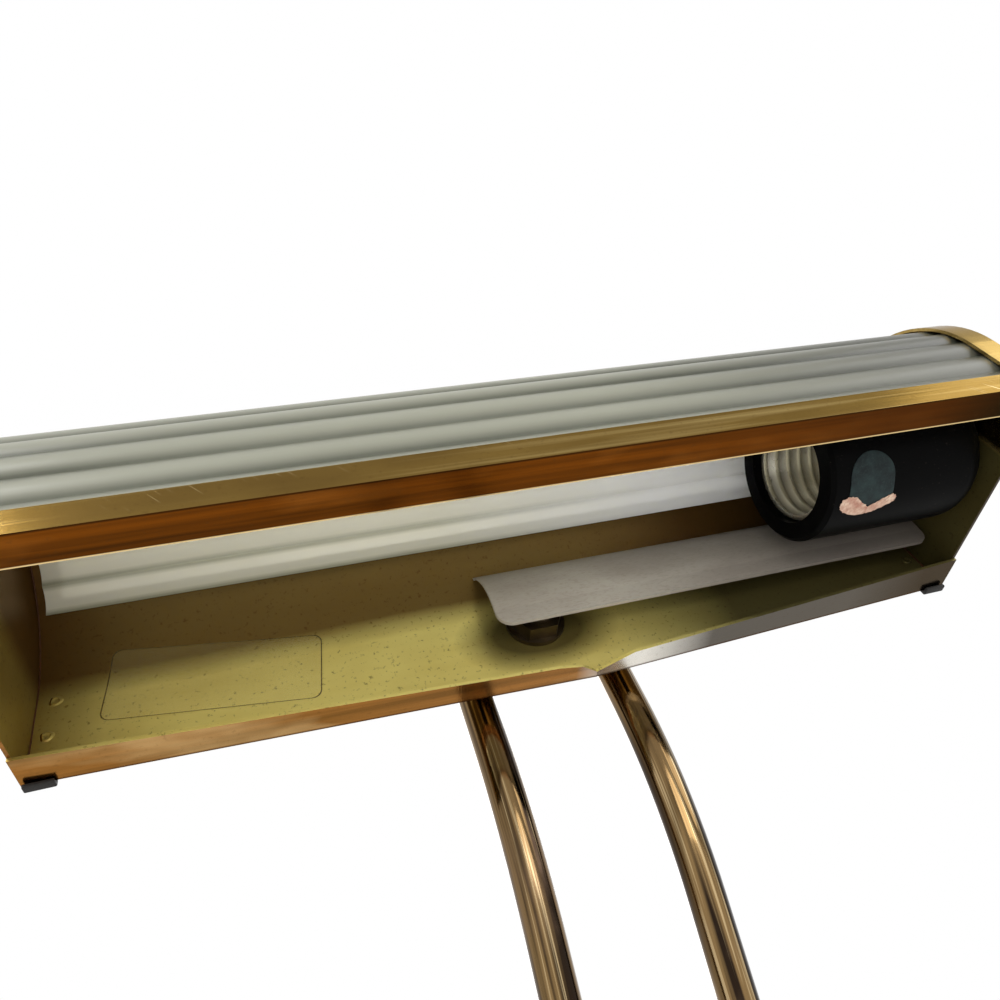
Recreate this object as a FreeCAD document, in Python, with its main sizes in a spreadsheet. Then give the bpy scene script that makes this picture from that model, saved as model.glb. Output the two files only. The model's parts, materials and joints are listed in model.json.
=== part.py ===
import FreeCAD, Part
import Sketcher
import math
import os

# Twin-arm piano lamp with a ribbed glass pane in a folded brass shade.
# X runs along the shade, the shade's open side and front face -Y, and +Z is up.
# The origin is the middle of the felt under the base.

doc = FreeCAD.newDocument("piano_lamp")
sheet = doc.addObject("Spreadsheet::Sheet", "Sizes")

DRIVING = [
    # shade sheet
    ("shade_length", 240), ("shade_depth", 68), ("shade_height", 55), ("sheet", 0.8),
    ("lip", 7.6), ("rail_height", 6.4), ("end_strip", 7), ("rear_rail_angle", 44),
    ("edge_dip", 4.6), ("dip_place", 9.5), ("opening_height", 270), ("rear_lip_left", 8.6),
    ("rear_lip_right", 9.5), ("rear_lip_middle", 5.2), ("rear_lip_bulge", 4.2),
    ("rear_lip_pressed", 1.2), ("press_reach", 10), ("press_bulge_reach", 4),
    # glass pane
    ("glass_thick", 2.4), ("rib_count", 13), ("rib_rise", 0.9), ("glass_hidden", 3.5),
    ("glass_gap", 0.3), ("clip_thick", 0.6), ("clip_width", 9), ("clip_reach", 1),
    ("clip_gap", 0.2),
    # lamp holder
    ("holder_radius", 19.4), ("holder_length", 49), ("holder_drop", 22.4), ("shell_gap", 0.4),
    ("holder_floor", 13), ("holder_rear", 7), ("rim_chamfer", 1), ("shell_radius", 13.3),
    ("shell_wall", 0.5), ("thread_pitch", 3.63), ("thread_depth", 0.75), ("thread_turns", 5),
    ("mouth_inset", 2.4), ("contact_radius", 1.2), ("contact_tip", 0.5), ("contact_length", 3.6),
    ("contact_tail", 1), ("contact_gap", 0.4),
    # wire cover
    ("cover_left", -12), ("cover_end_gap", 2), ("cover_top", 33), ("cover_foot", 8.5),
    ("cover_depth", 10), ("cover_thick", 1), ("cover_bow", 2.8), ("cover_corner", 4),
    ("cover_skirt", 4.9), ("lead_radius", 1.1), ("lead_rise", 0.2), ("lead_start", 8),
    ("lead_end_gap", 10), ("lead_gap", 0.3), ("pair_gap", 0.1),
    # panel fixing
    ("nipple_radius", 4.8), ("nipple_bore", 2.8), ("washer_over", 2), ("nut_across", 12.7),
    ("nut_thick", 4), ("washer_radius", 7.8), ("washer_gap", 0.12), ("washer_thick", 1.2),
    ("nipple_proud", 2), ("nipple_inset", 4.6), ("nipple_hole_gap", 0.15),
    # swivels and arms
    ("pivot_setback", 10), ("cross_radius", 4), ("cross_bore", 2.9), ("barrel_radius", 7.5),
    ("barrel_length", 14), ("boss_radius", 6.5), ("friction_thick", 1), ("friction_inset", 0.8),
    ("spacer_radius", 5.6), ("ball_radius", 7.4), ("ball_flat", 1.4), ("arm_spacing", 38),
    ("arm_radius", 4.4), ("arm_wall", 1), ("arm_seat", 4.3), ("upper_straight", 24),
    ("bend_radius", 100), ("lean", 27), ("slant", 60), ("base_pivot_height", 43),
    ("base_pivot_y", 22), ("socket_depth", 3.6),
    # base
    ("base_width", 150), ("base_depth", 112), ("base_corner", 14), ("base_top", 22),
    ("base_wall", 1.2), ("base_edge", 5), ("felt_thick", 1.5), ("felt_inset", 0.6),
    ("plate_thick", 1), ("seat_gap", 0.2), ("weight_gap", 7.5), ("well_gap", 2),
    ("nut_well", 5), ("wire_way", 7), ("post_foot", 15), ("post_waist", 6.6), ("post_collar", 0.8),
    ("base_nipple_reach", 13.5),
    # switch and cord inlet
    ("switch_x", -48), ("switch_y", -28), ("switch_length", 26), ("switch_width", 17),
    ("switch_lift", 1), ("bushing_radius", 5.5), ("bushing_proud", 0.6), ("bezel_radius", 8.5),
    ("bezel_thick", 2.4), ("bezel_edge", 1), ("bezel_slope", 1.6), ("button_radius", 3.5),
    ("button_proud", 6), ("button_travel", 2.5), ("button_buried", 7), ("button_room", 8),
    ("button_crown", 1.2), ("inlet_height", 9.5), ("inlet_radius", 6), ("inlet_bore", 3.2),
    ("inlet_groove", 1.05), ("inlet_flange", 0.8), ("inlet_inside", 1.6), ("inlet_outside", 1.4),
    ("inlet_nose", 2.6),
    # bumpers
    ("bumper_length", 6.4), ("bumper_thick", 1.4), ("bumper_rise", 5), ("bumper_bevel", 0.6),
    ("bumper_drop", 0.4), ("bumper_inset", 0.5),
    # allowances: between faces that touch, round threads, round what turns, and past a cut
    ("touch_gap", 0.02), ("thread_gap", 0.05), ("running_gap", 0.05), ("past", 1),
]


class Size:
    """A number in millimetres or degrees together with the sheet expression that gives it."""

    def __init__(self, value, text):
        self.value = float(value)
        self.text = text

    def join(self, other, sign, value):
        return Size(value, "(" + self.text + " " + sign + " " + as_size(other).text + ")")

    def __add__(self, other):
        return self.join(other, "+", self.value + as_size(other).value)

    def __sub__(self, other):
        return self.join(other, "-", self.value - as_size(other).value)

    def __mul__(self, other):
        return self.join(other, "*", self.value * as_size(other).value)

    def __truediv__(self, other):
        return self.join(other, "/", self.value / as_size(other).value)

    def __radd__(self, other):
        return as_size(other) + self

    def __rsub__(self, other):
        return as_size(other) - self

    def __rmul__(self, other):
        return as_size(other) * self

    def __neg__(self):
        return Size(-self.value, "(-1 * " + self.text + ")")


def as_size(number):
    if isinstance(number, Size):
        return number
    return Size(number, "(" + repr(float(number)) + ")")


def sin_of(angle):
    return Size(math.sin(math.radians(angle.value)), "sin(" + angle.text + " * 1 deg)")


def sqrt_of(size):
    return Size(math.sqrt(size.value), "sqrt(" + size.text + ")")


def cos_of(angle):
    return Size(math.cos(math.radians(angle.value)), "cos(" + angle.text + " * 1 deg)")


for row, (alias, number) in enumerate(DRIVING, start=1):
    sheet.set("A" + str(row), alias)
    sheet.set("B" + str(row), str(number))
    sheet.setAlias("B" + str(row), alias)
doc.recompute()
S = {alias: Size(number, "Sizes." + alias) for alias, number in DRIVING}

# Places worked out from the driving sizes. Shade heights are counted from the opening.
half_length = S["shade_length"] / 2
arch_radius = S["shade_depth"] / 2
bend_back = S["bend_radius"] * (1 - cos_of(S["lean"]))
bend_drop = S["bend_radius"] * sin_of(S["lean"])
top_pivot_y = S["base_pivot_y"] - bend_back * 2 - S["slant"] * sin_of(S["lean"])
rear_y = top_pivot_y - S["pivot_setback"]
front_y = rear_y - S["shade_depth"]
middle_y = front_y + arch_radius
opening_z = S["opening_height"]
arch_z = opening_z + S["shade_height"] - arch_radius
top_pivot_z = arch_z + S["washer_over"] - S["washer_radius"]
panel_y = rear_y - S["sheet"]
plate_x = half_length - S["sheet"]
holder_z = opening_z + S["holder_drop"]
mouth_x = plate_x - S["holder_length"]
shell_floor = mouth_x + S["mouth_inset"] + S["thread_pitch"] * S["thread_turns"]
cover_right = half_length - S["cover_end_gap"]
arm_x = S["arm_spacing"] / 2
base_pivot_z = S["base_pivot_height"]
arm_foot = S["arm_seat"] + S["touch_gap"] * 2
touch = S["touch_gap"]
past = S["past"]
arc_share = math.sqrt(0.5)

tiny = 1e-4
switch_place = (S["switch_x"], S["switch_y"])

parts = []


def finish_part(item, label):
    item.Label = label
    parts.append(item)
    return item


def bind(item, path, size):
    item.setExpression(path, as_size(size).text)


def new_body(label):
    return finish_part(doc.addObject("PartDesign::Body", label), label)


def origin_plane(body, role):
    for feature in body.Origin.OriginFeatures:
        if feature.Role == role:
            return feature
    raise ValueError(role)


def attach(body, sketch, role, lift):
    """Puts a sketch on one of its body's planes, lifted along the plane's normal."""
    sketch.AttachmentSupport = [(origin_plane(body, role), "")]
    sketch.MapMode = "FlatFace"
    bind(sketch, ".AttachmentOffset.Base.z", lift)


def outline(body, name, corners, role="YZ_Plane", lift=0):
    """Closed outline. A corner is (x, y); ("arc", x, y) before a corner bows the side through x, y."""
    sketch = body.newObject("Sketcher::SketchObject", name)
    attach(body, sketch, role, lift)
    places = [corner for corner in corners if corner[0] != "arc"]
    bows = {}
    count = 0
    for corner in corners:
        if corner[0] == "arc":
            bows[count] = corner[1:]
        else:
            count += 1
    edges = []
    for index in range(len(places)):
        start = vector(places[index])
        end = vector(places[(index + 1) % len(places)])
        bow = bows.get(index + 1)
        if bow is None:
            edges.append(sketch.addGeometry(Part.LineSegment(start, end), False))
        else:
            edges.append(sketch.addGeometry(Part.Arc(start, vector(bow), end), False))
    ends = [edge_ends(sketch, edge, vector(places[i])) for i, edge in enumerate(edges)]
    for index, edge in enumerate(edges):
        after = (index + 1) % len(edges)
        joined = (edge, ends[index][1], edges[after], ends[after][0])
        sketch.addConstraint(Sketcher.Constraint("Coincident", *joined))
    for index, edge in enumerate(edges):
        for axis, size in zip("XY", places[index]):
            fixed = Sketcher.Constraint("Distance" + axis, edge, ends[index][0], as_size(size).value)
            number = sketch.addConstraint(fixed)
            name_of = "corner" + str(index) + axis
            sketch.renameConstraint(number, name_of)
            bind(sketch, "Constraints." + name_of, size)
    return sketch


def vector(place):
    return FreeCAD.Vector(as_size(place[0]).value, as_size(place[1]).value, 0)


def edge_ends(sketch, edge, start):
    """An arc's first point may be the end of its side, so the nearer one is found here."""
    if sketch.getPoint(edge, 1).distanceToPoint(start) < tiny:
        return 1, 2
    return 2, 1


def circle(body, name, radius, place=(0, 0), role="XY_Plane", lift=0):
    sketch = body.newObject("Sketcher::SketchObject", name)
    attach(body, sketch, role, lift)
    add_circle(sketch, radius, place, "outer")
    return sketch


def add_circle(sketch, radius, place, name):
    normal = FreeCAD.Vector(0, 0, 1)
    ring = sketch.addGeometry(Part.Circle(vector(place), normal, as_size(radius).value), False)
    rows = [
        ("Radius", (ring, as_size(radius).value), radius),
        ("DistanceX", (ring, 3, as_size(place[0]).value), place[0]),
        ("DistanceY", (ring, 3, as_size(place[1]).value), place[1]),
    ]
    for kind, wanted, size in rows:
        number = sketch.addConstraint(Sketcher.Constraint(kind, *wanted))
        sketch.renameConstraint(number, name + kind)
        bind(sketch, "Constraints." + name + kind, size)


def pad(body, sketch, length):
    feature = body.newObject("PartDesign::Pad", "Pad")
    feature.Profile = sketch
    bind(feature, "Length", length)
    doc.recompute()
    return feature


def pocket(body, sketch, length, reverse=False):
    """Cuts against the sketch's normal, or along it when reversed, and checks that it cut."""
    before = body.Shape.Volume
    feature = body.newObject("PartDesign::Pocket", "Pocket")
    feature.Profile = sketch
    feature.Reversed = reverse
    bind(feature, "Length", length)
    doc.recompute()
    if body.Shape.Volume > before - tiny:
        raise ValueError("a pocket cut nothing in " + body.Label)
    return feature


def turned(label, corners, place, axis="Z"):
    """Revolves an outline of (radius, height) about its height axis and sets it along an axis."""
    body = new_body(label)
    sketch = outline(body, "Profile", corners, "XZ_Plane")
    feature = body.newObject("PartDesign::Revolution", "Revolution")
    feature.Profile = sketch
    feature.ReferenceAxis = (sketch, ["V_Axis"])
    feature.Angle = 360
    move(body, place, axis)
    doc.recompute()
    return body


TURNS = {
    "Z": FreeCAD.Rotation(),
    "X": FreeCAD.Rotation(FreeCAD.Vector(0, 1, 0), 90),
    "Y": FreeCAD.Rotation(FreeCAD.Vector(1, 0, 0), -90),
    "-X": FreeCAD.Rotation(FreeCAD.Vector(0, 1, 0), -90),
    "-Y": FreeCAD.Rotation(FreeCAD.Vector(1, 0, 0), 90),
    "-Z": FreeCAD.Rotation(FreeCAD.Vector(1, 0, 0), 180),
    "up": FreeCAD.Rotation(FreeCAD.Vector(1, 1, 1), 120),
    "down": FreeCAD.Rotation(FreeCAD.Vector(1, -1, 1), 240),
}


def move(item, place, axis="Z"):
    item.Placement = FreeCAD.Placement(FreeCAD.Vector(0, 0, 0), TURNS[axis])
    for letter, size in zip("xyz", place):
        bind(item, ".Placement.Base." + letter, size)


def cylinder(name, radius, height, place, axis="Z"):
    rod = doc.addObject("Part::Cylinder", name)
    bind(rod, "Radius", radius)
    bind(rod, "Height", height)
    move(rod, place, axis)
    return rod


def cut(base, tool):
    result = doc.addObject("Part::Cut", base.Name + "_cut")
    result.Base = base
    result.Tool = tool
    return result


def fuse(*pieces):
    result = doc.addObject("Part::MultiFuse", "joined")
    result.Shapes = list(pieces)
    return result


def group(*pieces):
    result = doc.addObject("Part::Compound", "group")
    result.Links = list(pieces)
    return result


def ring(outer, inner, length):
    """Corners of a plain tube for turned()."""
    return [(inner, 0), (outer, 0), (outer, length), (inner, length)]


def arch_corners(inset, foot):
    """The shade's section, inset from its outside, from the front foot over the arch to the rear."""
    side = arch_radius - inset
    slant = side * arc_share
    return [
        (middle_y - side, foot),
        (middle_y - side, arch_z),
        ("arc", middle_y - slant, arch_z + slant),
        (middle_y, arch_z + side),
        ("arc", middle_y + slant, arch_z + slant),
        (middle_y + side, arch_z),
        (middle_y + side, foot),
    ]


def back_over(corners):
    """The same run of corners walked the other way, with each bow kept on its own side."""
    return list(reversed(corners))


# Shade sheet

def make_shade_shell():
    body = new_body("shade_shell")
    outside = arch_corners(as_size(0), opening_z)
    inside = back_over(arch_corners(S["sheet"], opening_z + S["sheet"]))
    outside[-1] = (outside[-1][0], opening_z - S["edge_dip"])
    inside[0] = (inside[0][0], opening_z - S["edge_dip"])
    lip_y = front_y + S["lip"]
    front_lip = [(lip_y, opening_z + S["sheet"]), (lip_y, opening_z)]
    section = outline(body, "Section", outside + inside + front_lip, lift=-half_length)
    pad(body, section, S["shade_length"])
    cut_window(body)
    trim_rear_edge(body)
    add_rear_lip(body)
    hole = circle(body, "NippleHole", S["nipple_radius"] + S["nipple_hole_gap"],
                  (0, top_pivot_z), "XZ_Plane", -rear_y)
    pocket(body, hole, S["sheet"] * 2, reverse=True)


def cut_window(body):
    """One prism from end strip to end strip takes the front, top and upper rear out of the arch."""
    far = S["shade_depth"]
    low = opening_z + S["rail_height"]
    high = arch_z + far
    edge = S["rear_rail_angle"]
    corners = [
        (front_y - far, low), (middle_y, low), (middle_y, arch_z),
        (middle_y + far * cos_of(edge), arch_z + far * sin_of(edge)),
        (middle_y + far, high), (front_y - far, high),
    ]
    length = S["shade_length"] - S["end_strip"] * 2
    window = outline(body, "Window", corners, lift=half_length - S["end_strip"])
    pocket(body, window, length)


def trim_rear_edge(body):
    """The rear panel's lower edge is two straight runs that meet at a low point."""
    far = S["shade_depth"] / 2
    low = opening_z - S["edge_dip"]
    corners = [
        (-half_length - past, low - far), (-half_length - past, opening_z),
        (-half_length, opening_z), (S["dip_place"], low), (half_length, opening_z),
        (half_length + past, opening_z), (half_length + past, low - far),
    ]
    trim = outline(body, "RearEdge", corners, "XZ_Plane", -rear_y - past)
    pocket(body, trim, S["sheet"] + past * 2, reverse=True)


def add_rear_lip(body):
    """The rear lip is ruled between sections. It is pressed nearly flat where the edge dips."""
    left_slope = S["edge_dip"] / (half_length + S["dip_place"])
    right_slope = S["edge_dip"] / (half_length - S["dip_place"])
    low = opening_z - S["edge_dip"]
    reach = S["press_reach"]
    part_way = S["press_bulge_reach"]
    stations = [
        (-half_length, opening_z, S["rear_lip_left"]),
        (S["dip_place"] - reach, low + left_slope * reach, S["rear_lip_middle"]),
        (S["dip_place"] - part_way, low + left_slope * part_way, S["rear_lip_bulge"]),
        (S["dip_place"], low, S["rear_lip_pressed"]),
        (S["dip_place"] + reach, low + right_slope * reach, S["rear_lip_middle"]),
        (half_length, opening_z, S["rear_lip_right"]),
    ]
    sections = []
    for number, (place, under, width) in enumerate(stations):
        within = panel_y + S["sheet"] / 2
        over = under + S["sheet"]
        corners = [(within, under), (within, over), (panel_y - width, over), (panel_y - width, under)]
        sections.append(outline(body, "LipSection" + str(number), corners, lift=place))
    feature = body.newObject("PartDesign::AdditiveLoft", "RearLip")
    feature.Profile = sections[0]
    feature.Sections = sections[1:]
    feature.Ruled = True
    doc.recompute()


def make_end_plates():
    for side, name in ((-1, "end_plate_left"), (1, "end_plate_right")):
        body = new_body(name)
        corners = arch_corners(S["sheet"] + touch, opening_z + S["sheet"])
        lift = -half_length if side < 0 else plate_x
        pad(body, outline(body, "Plate", corners, lift=lift), S["sheet"])


def make_bumpers():
    """A rubber foot behind and under each rear corner of the shade."""
    thick = S["bumper_thick"]
    bevel = S["bumper_bevel"]
    back = rear_y + touch
    high = opening_z + S["bumper_rise"]
    low = opening_z - S["bumper_drop"]
    under = low - thick
    corners = [
        (back, high), (back + thick, high - thick), (back + thick, under + bevel),
        (back + thick - bevel, under), (back - thick, under), (back - thick, low), (back, low),
    ]
    inset = S["bumper_inset"]
    for side, name in ((-1, "bumper_left"), (1, "bumper_right")):
        body = new_body(name)
        lift = inset - half_length if side < 0 else half_length - S["bumper_length"] - inset
        pad(body, outline(body, "Wrap", corners, lift=lift), S["bumper_length"])


# Glass

def glass_path(inset, step, total):
    """A point and outward normal at a share of the pane's run from the front rail to the rear one."""
    side = arch_radius.value - inset
    front_run = (arch_z - opening_z - S["rail_height"] + S["glass_hidden"]).value
    rear_end = math.radians(S["rear_rail_angle"].value) - S["glass_hidden"].value / side
    run = front_run + side * (math.pi - rear_end)
    along = run * step / total
    if along <= front_run:
        place = FreeCAD.Vector(middle_y.value - side, arch_z.value - front_run + along, 0)
        return place, FreeCAD.Vector(-1, 0, 0)
    turn = math.pi - (along - front_run) / side
    normal = FreeCAD.Vector(math.cos(turn), math.sin(turn), 0)
    return FreeCAD.Vector(middle_y.value, arch_z.value, 0) + normal * side, normal


def make_ribbed_glass():
    """Every rib is one arc outside and one inside, so the pane keeps its thickness."""
    body = new_body("ribbed_glass")
    count = int(S["rib_count"].value)
    rise = S["rib_rise"].value
    outer_inset = S["sheet"].value + S["glass_gap"].value + rise
    inner_inset = outer_inset + S["glass_thick"].value
    sketch = body.newObject("Sketcher::SketchObject", "Ribs")
    attach(body, sketch, "YZ_Plane", -half_length + S["end_strip"] - S["glass_hidden"])
    edges = []
    for inset in (outer_inset, inner_inset):
        for rib in range(count):
            start = glass_path(inset, rib, count)[0]
            crest, normal = glass_path(inset, rib + 0.5, count)
            end = glass_path(inset, rib + 1, count)[0]
            edges.append(Part.Arc(start, crest + normal * rise, end))
    for end in (0, count):
        outer = glass_path(outer_inset, end, count)[0]
        inner = glass_path(inner_inset, end, count)[0]
        edges.append(Part.LineSegment(outer, inner))
    for edge in edges:
        sketch.addGeometry(edge, False)
    pad(body, sketch, S["shade_length"] - S["end_strip"] * 2 + S["glass_hidden"] * 2)


def make_glass_clips():
    """A tab on each end plate carries the pane's crown from inside."""
    tabs = []
    side = arch_radius - S["sheet"] - S["glass_gap"] - S["rib_rise"] - S["glass_thick"]
    reach = S["end_strip"] + S["clip_reach"]
    half_width = S["clip_width"] / 2
    level = arch_z + sqrt_of(side * side - half_width * half_width) - S["clip_thick"] - S["clip_gap"]
    for end in (-1, 1):
        tab = doc.addObject("Part::Box", "tab")
        bind(tab, "Length", reach)
        bind(tab, "Width", S["clip_width"])
        bind(tab, "Height", S["clip_thick"])
        start = touch - plate_x if end < 0 else plate_x - reach - touch
        move(tab, (start, middle_y - half_width, level))
        tabs.append(tab)
    finish_part(group(*tabs), "glass_clips")


# Lamp holder

def make_holder():
    """Moulded body with a bevelled mouth rim, a rounded rear end and a bore for the screw shell."""
    radius = S["holder_radius"]
    length = S["holder_length"]
    bore = S["shell_radius"] + S["shell_wall"] + S["shell_gap"]
    rear = S["holder_rear"]
    bow = rear * (1 - arc_share)
    floor = S["holder_floor"]
    rim = S["rim_chamfer"]
    corners = [
        (0, touch), (radius - rear, touch), ("arc", radius - bow, bow), (radius, rear),
        (radius, length - rim), (radius - rim, length), (bore, length), (bore, floor), (0, floor),
    ]
    turned("lamp_holder", corners, (plate_x, middle_y, holder_z), "-X")


def make_screw_shell():
    """The rolled thread's crests and roots inside a plain cup, one ring for each turn."""
    crest = S["shell_radius"]
    root = crest - S["thread_depth"]
    wall = S["shell_wall"]
    outside = crest + wall
    pitch = S["thread_pitch"]
    turns = int(S["thread_turns"].value)
    hole = S["contact_radius"] + S["contact_gap"]
    inner = []
    for turn in range(turns):
        inner += [(crest, pitch * (turn + 0.5)), (root, pitch * (turn + 1))]
    corners = [(hole, 0), (hole, -wall), (outside, -wall), (outside, pitch * turns)]
    corners += back_over(inner) + [(root, 0)]
    turned("screw_shell", corners, (shell_floor, middle_y, holder_z), "-X")


def make_contact():
    radius = S["contact_radius"]
    tip = S["contact_tip"]
    length = S["contact_length"]
    tail = -S["contact_tail"]
    corners = [(0, tail), (radius, tail), (radius, length - tip), (tip, length), (0, length)]
    turned("centre_contact", corners, (shell_floor, middle_y, holder_z), "-X")


# Wire cover and leads

def cover_section(thick):
    """A bowed flap that leaves the panel's arch and turns down into a short skirt."""
    top = opening_z + S["cover_top"]
    low = opening_z + S["cover_foot"]
    skirt = low + S["cover_skirt"]
    face = panel_y - S["cover_depth"]
    inner = face + thick
    side = arch_radius - S["sheet"]
    rise = top - arch_z
    back = middle_y + sqrt_of(side * side - rise * rise) - S["thread_gap"]
    under = top - thick
    outer_bow = bowed((back, top), (face, skirt), S["cover_bow"])
    inner_bow = bowed((back, under), (inner, skirt), S["cover_bow"])
    return [
        (back, top), ("arc",) + outer_bow, (face, skirt), (face, low), (inner, low),
        (inner, skirt), ("arc",) + inner_bow, (back, under),
    ]


def bowed(start, end, rise):
    """The point that stands off the middle of a side by rise, to the left of its run."""
    run = vector(end) - vector(start)
    side = FreeCAD.Vector(run.y, -run.x, 0).normalize() * as_size(rise).value
    middle = (vector(start) + vector(end)) * 0.5 + side
    return (middle.x, middle.y)


def make_wire_cover():
    body = new_body("wire_cover")
    corners = cover_section(S["cover_thick"])
    pad(body, outline(body, "Section", corners, lift=S["cover_left"]),
        cover_right - S["cover_left"])
    round_cover_corner(body, "LeftCorner", S["cover_left"], 1)
    round_cover_corner(body, "RightCorner", cover_right, -1)


def round_cover_corner(body, name, end, inward):
    """Takes the sharp lower corner off one end of the cover."""
    low = opening_z + S["cover_foot"]
    corner = S["cover_corner"]
    bow = corner * (1 - arc_share)
    outside = end - past * inward
    inside = end + corner * inward
    corners = [
        (outside, low - past), (inside, low - past), (inside, low),
        ("arc", end + bow * inward, low + bow), (end, low + corner), (outside, low + corner),
    ]
    sketch = outline(body, name, corners, "XZ_Plane", -panel_y)
    pocket(body, sketch, S["cover_depth"] * 2, reverse=True)


def make_leads():
    """One sheathed pair lies along the panel behind the cover, from the nipple to the holder."""
    body = new_body("socket_leads")
    radius = S["lead_radius"]
    back = panel_y - radius - S["lead_gap"]
    height = arch_z + S["lead_rise"]
    lead = circle(body, "Lead", radius, (back, height), "YZ_Plane", S["lead_start"])
    add_circle(lead, radius, (back, height + radius * 2 + S["pair_gap"]), "second")
    lead.recompute()
    pad(body, lead, half_length - S["lead_end_gap"] - S["lead_start"])


# Swivels: the same barrel, cross tube, washers, spacers and balls above and below

def make_barrel(label, place, boss_axis):
    """A friction barrel with a threaded boss that reaches pivot_setback from its axis."""
    x, y, z = place
    start = x - S["barrel_length"] / 2
    setback = S["pivot_setback"]
    barrel = cylinder(label + "_body", S["barrel_radius"], S["barrel_length"], (start, y, z), "X")
    boss = cylinder(label + "_boss", S["boss_radius"], setback - touch, place, boss_axis)
    bore = cylinder(label + "_bore", S["cross_radius"] + S["running_gap"],
                    S["barrel_length"] + past * 2, (start - past, y, z), "X")
    thread = cylinder(label + "_thread", S["nipple_radius"] + touch, setback + past, place, boss_axis)
    solid = cut(cut(fuse(barrel, boss), bore), thread)
    doc.recompute()
    return finish_part(solid, label)


def make_swivel(where, place):
    """Everything that the two arms carry round one barrel."""
    x, y, z = place
    reach = arm_x - S["socket_depth"]
    turned(where + "_cross_tube", ring(S["cross_radius"], S["cross_bore"], reach * 2),
           (-reach, y, z), "X")
    thick = S["friction_thick"]
    washer_start = S["barrel_length"] / 2 + S["running_gap"]
    spacer_start = washer_start + thick + touch
    spacer = arm_x - S["ball_radius"] + S["ball_flat"] - spacer_start - touch
    hole = S["cross_radius"] + touch
    washer_radius = S["barrel_radius"] - S["friction_inset"]
    washers = []
    spacers = []
    for side in (-1, 1):
        start = washer_start if side > 0 else -washer_start - thick
        washers.append(tube_of("washer", washer_radius, hole, thick, (start, y, z)))
        start = spacer_start if side > 0 else -spacer_start - spacer
        spacers.append(tube_of("spacer", S["spacer_radius"], hole, spacer, (start, y, z)))
    finish_part(group(*washers), where + "_friction_washers")
    finish_part(group(*spacers), where + "_spacers")
    arm_axis = "Z" if where == "base" else "-Z"
    for side, name in ((-1, "left"), (1, "right")):
        make_ball(where + "_ball_" + name, side, y, z, arm_axis)


def tube_of(name, outer, inner, length, place, axis="X"):
    shell = cylinder(name, outer, length, place, axis)
    return cut(shell, cylinder(name + "_hole", inner, length, place, axis))


def make_ball(label, side, y, z, arm_axis):
    """A turned ball with a flat for the spacer and blind seats for the cross tube and the arm."""
    centre = arm_x * side
    ball = doc.addObject("Part::Sphere", label + "_sphere")
    bind(ball, "Radius", S["ball_radius"])
    move(ball, (centre, y, z))
    axis = "X" if side > 0 else "-X"
    reach = S["ball_radius"] + past
    inside = centre - reach * side
    seat = cylinder(label + "_seat", S["cross_radius"] + touch, reach - S["socket_depth"],
                    (inside, y, z), axis)
    flat = cylinder(label + "_flat", reach, S["ball_flat"] + past, (inside, y, z), axis)
    rise = S["arm_seat"] if arm_axis == "Z" else -S["arm_seat"]
    arm_hole = cylinder(label + "_arm_hole", S["arm_radius"] + touch, reach,
                        (centre, y, z + rise), arm_axis)
    finish_part(cut(cut(cut(ball, seat), flat), arm_hole), label)


# Arms

def make_arm(label, side):
    """A tube that drops from the shade, leans back and straightens again over the base."""
    x = arm_x * side
    outside = arm_run(label + "_outside", S["arm_radius"], x)
    bore = arm_run(label + "_bore", S["arm_radius"] - S["arm_wall"], x)
    finish_part(cut(outside, bore), label)


def arm_run(name, radius, x):
    """The arm's three straight runs and two bends as one round rod."""
    lean = S["lean"]
    high = top_pivot_z - arm_foot
    first = top_pivot_z - S["upper_straight"]
    last = first - bend_drop * 2 - S["slant"] * cos_of(lean)
    low = base_pivot_z + arm_foot
    slanted = cylinder(name + "_slant", radius, S["slant"],
                       (x, S["base_pivot_y"] - bend_back, last + bend_drop))
    slanted.Placement.Rotation = FreeCAD.Rotation(FreeCAD.Vector(1, 0, 0), lean.value)
    bind(slanted, ".Placement.Rotation.Angle", lean)
    return fuse(
        cylinder(name + "_upper", radius, high - first, (x, top_pivot_y, first)),
        bend(name + "_upper_bend", radius, (x, top_pivot_y + S["bend_radius"], first), "down"),
        slanted,
        bend(name + "_lower_bend", radius, (x, S["base_pivot_y"] - S["bend_radius"], last), "up"),
        cylinder(name + "_lower", radius, last - low, (x, S["base_pivot_y"], low)),
    )


def bend(name, radius, centre, way):
    """A piece of ring about a bend's centre, from level to the arm's lean."""
    piece = doc.addObject("Part::Torus", name)
    bind(piece, "Radius1", S["bend_radius"])
    bind(piece, "Radius2", radius)
    bind(piece, "Angle3", S["lean"])
    move(piece, centre, way)
    return piece


# Panel fixing

def make_panel_fixing():
    """Washer, hexagon nut and the hollow nipple that they clamp."""
    height = top_pivot_z
    thick = S["washer_thick"]
    hole = S["nipple_radius"] + S["thread_gap"]
    washer_y = panel_y - S["washer_gap"]
    nut_y = washer_y - thick - touch
    turned("panel_washer", ring(S["washer_radius"], hole, thick), (0, washer_y, height), "-Y")
    body = new_body("panel_nut")
    half = S["nut_across"] / 2
    corner = half / cos_of(as_size(30))
    corners = [
        (corner, 0), (corner / 2, half), (-corner / 2, half),
        (-corner, 0), (-corner / 2, -half), (corner / 2, -half),
    ]
    hexagon = outline(body, "Hexagon", corners, "XY_Plane")
    add_circle(hexagon, hole, (0, 0), "thread")
    pad(body, hexagon, S["nut_thick"])
    move(body, (0, nut_y, height), "-Y")
    start = top_pivot_y - S["nipple_inset"]
    reach = start - nut_y + S["nut_thick"] + S["nipple_proud"]
    turned("shade_nipple", ring(S["nipple_radius"], S["nipple_bore"], reach), (0, start, height), "-Y")


# Base

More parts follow.
